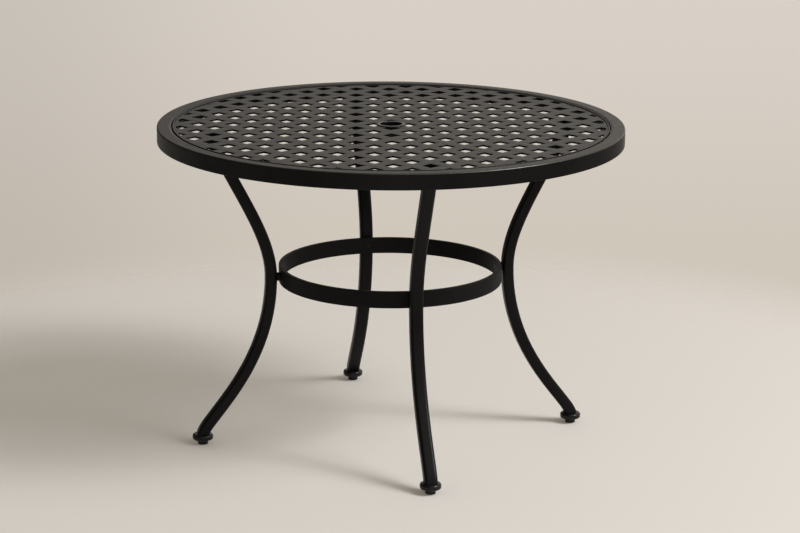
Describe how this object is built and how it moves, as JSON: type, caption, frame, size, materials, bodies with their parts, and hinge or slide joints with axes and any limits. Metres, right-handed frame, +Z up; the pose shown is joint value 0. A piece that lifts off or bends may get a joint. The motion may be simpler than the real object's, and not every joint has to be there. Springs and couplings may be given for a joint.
{
  "type": "umbrella table",
  "caption": "Round outdoor table with a recessed lattice top, an umbrella hole, curved splayed legs, a stretcher ring and levelling feet.",
  "frame": {"origin": "on the floor, under the centre of the round top", "axes": "+Z up along the table's axis; the four legs stand on +X, +Y, -X and -Y"},
  "size_m": [1.067, 1.067, 0.74],
  "materials": {
    "frame_coat": "satin black powder coat",
    "lattice_coat": "satin charcoal powder coat",
    "black_plastic": "satin black plastic",
    "dark_steel": "dark plated steel"
  },
  "bodies": {
    "table": {"top_rim": "frame_coat", "lattice_panel": "lattice_coat", "stretcher_ring": "frame_coat", "leg_1": "frame_coat", "leg_plate_1": "frame_coat", "leg_bolt_1a": "dark_steel", "leg_bolt_1b": "dark_steel", "ring_spacer_1": "frame_coat", "ring_screw_1": "dark_steel", "ring_nut_1": "dark_steel", "foot_cap_1": "black_plastic", "leg_2": "frame_coat", "leg_plate_2": "frame_coat", "leg_bolt_2a": "dark_steel", "leg_bolt_2b": "dark_steel", "ring_spacer_2": "frame_coat", "ring_screw_2": "dark_steel", "ring_nut_2": "dark_steel", "foot_cap_2": "black_plastic", "leg_3": "frame_coat", "leg_plate_3": "frame_coat", "leg_bolt_3a": "dark_steel", "leg_bolt_3b": "dark_steel", "ring_spacer_3": "frame_coat", "ring_screw_3": "dark_steel", "ring_nut_3": "dark_steel", "foot_cap_3": "black_plastic", "leg_4": "frame_coat", "leg_plate_4": "frame_coat", "leg_bolt_4a": "dark_steel", "leg_bolt_4b": "dark_steel", "ring_spacer_4": "frame_coat", "ring_screw_4": "dark_steel", "ring_nut_4": "dark_steel", "foot_cap_4": "black_plastic", "panel_screw_1": "dark_steel", "panel_screw_2": "dark_steel", "panel_screw_3": "dark_steel", "panel_screw_4": "dark_steel", "panel_screw_5": "dark_steel", "panel_screw_6": "dark_steel", "panel_screw_7": "dark_steel", "panel_screw_8": "dark_steel"},
    "umbrella_ring": {"umbrella_ring": "black_plastic"},
    "glide_1": {"glide_stem_1": "dark_steel", "glide_pad_1": "black_plastic"},
    "glide_2": {"glide_stem_2": "dark_steel", "glide_pad_2": "black_plastic"},
    "glide_3": {"glide_stem_3": "dark_steel", "glide_pad_3": "black_plastic"},
    "glide_4": {"glide_stem_4": "dark_steel", "glide_pad_4": "black_plastic"}
  },
  "joints": [
    {"name": "umbrella_ring_lift", "type": "slide", "parent": "table", "child": "umbrella_ring", "axis": [0, 0, 1], "range_m": [0, 0.04]},
    {"name": "glide_1_adjust", "type": "slide", "parent": "table", "child": "glide_1", "axis": [0, 0, 1], "range_m": [-0.01, 0]},
    {"name": "glide_2_adjust", "type": "slide", "parent": "table", "child": "glide_2", "axis": [0, 0, 1], "range_m": [-0.01, 0]},
    {"name": "glide_3_adjust", "type": "slide", "parent": "table", "child": "glide_3", "axis": [0, 0, 1], "range_m": [-0.01, 0]},
    {"name": "glide_4_adjust", "type": "slide", "parent": "table", "child": "glide_4", "axis": [0, 0, 1], "range_m": [-0.01, 0]}
  ]
}
